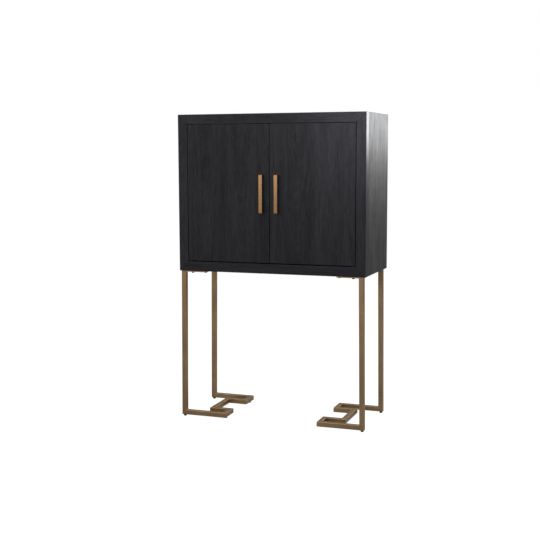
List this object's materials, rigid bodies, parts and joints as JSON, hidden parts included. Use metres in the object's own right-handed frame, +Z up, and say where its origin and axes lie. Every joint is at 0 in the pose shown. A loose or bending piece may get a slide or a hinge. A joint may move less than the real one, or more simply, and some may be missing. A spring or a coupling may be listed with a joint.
{
  "type": "bar cabinet with fold out shelf",
  "caption": "Bar cabinet on a tube stand with key-shaped feet: inset doors, strap pulls, a leaf that folds out level, scalloped bottle rails and stemware rails.",
  "frame": {"origin": "on the floor, under the middle of the cabinet's box with its pulls", "axes": "+X to the right seen from the front, +Y to the back, +Z up; the doors face -Y"},
  "size_m": [1, 0.474, 1.587],
  "materials": {
    "black_oak": "black-stained open-pored oak, satin lacquer",
    "inner_oak": "dark-stained oak, satin",
    "bronze": "aged bronze coloured, lightly brushed",
    "brass": "satin warm brass",
    "dark_steel": "dark, low sheen",
    "rubber": "matt black"
  },
  "bodies": {
    "case": {"frame_bottom_rail": "black_oak", "frame_top_rail": "black_oak", "frame_left_stile": "black_oak", "frame_right_stile": "black_oak", "bottom_panel": "black_oak", "top_panel": "black_oak", "left_side_panel": "black_oak", "right_side_panel": "black_oak", "back_panel": "inner_oak", "rear_shelf": "inner_oak", "shelf_cleat_left": "inner_oak", "shelf_cleat_right": "inner_oak", "bottle_rail_front": "inner_oak", "bottle_rail_rear": "inner_oak", "key_foot_left": "bronze", "key_foot_right": "bronze", "leg_front_left": "bronze", "leg_back_left": "bronze", "leg_front_right": "bronze", "leg_back_right": "bronze", "mounting_plate_front_left": "bronze", "mounting_plate_back_left": "bronze", "mounting_plate_front_right": "bronze", "mounting_plate_back_right": "bronze", "stemware_rail_1": "bronze", "stemware_rail_2": "bronze", "stemware_rail_3": "bronze", "stemware_rail_4": "bronze", "stemware_rail_5": "bronze", "shelf_hinge_fixed_leaf": "brass", "shelf_hinge_pin": "brass", "magnetic_catch": "dark_steel", "frame_pivot_left_bottom": "dark_steel", "frame_pivot_left_top": "dark_steel", "frame_pivot_right_bottom": "dark_steel", "frame_pivot_right_top": "dark_steel", "leaf_stop_left": "rubber", "leaf_stop_right": "rubber", "glide_left_front_leg": "rubber", "glide_left_front_key": "rubber", "glide_left_back_key": "rubber", "glide_left_back_leg": "rubber", "glide_right_front_leg": "rubber", "glide_right_front_key": "rubber", "glide_right_back_key": "rubber", "glide_right_back_leg": "rubber"},
    "left_door": {"left_door_panel": "black_oak", "left_pull": "brass", "left_door_strike": "dark_steel", "left_door_pivot_bottom": "dark_steel", "left_door_pivot_top": "dark_steel"},
    "right_door": {"right_door_panel": "black_oak", "right_pull": "brass", "right_door_strike": "dark_steel", "right_door_pivot_bottom": "dark_steel", "right_door_pivot_top": "dark_steel"},
    "fold_out_leaf": {"fold_out_leaf": "inner_oak", "shelf_hinge_moving_leaf": "brass"}
  },
  "joints": [
    {"name": "left_door_swing", "type": "hinge", "parent": "case", "child": "left_door", "pos_m": [-0.437, -0.207, 0.83], "axis": [0, 0, -1], "range_deg": [0, 110]},
    {"name": "right_door_swing", "type": "hinge", "parent": "case", "child": "right_door", "pos_m": [0.437, -0.207, 0.83], "axis": [0, 0, 1], "range_deg": [0, 110]},
    {"name": "leaf_fold", "type": "hinge", "parent": "case", "child": "fold_out_leaf", "pos_m": [0, 0.1163, 1.0233], "axis": [1, 0, 0], "range_deg": [0, 94]}
  ]
}
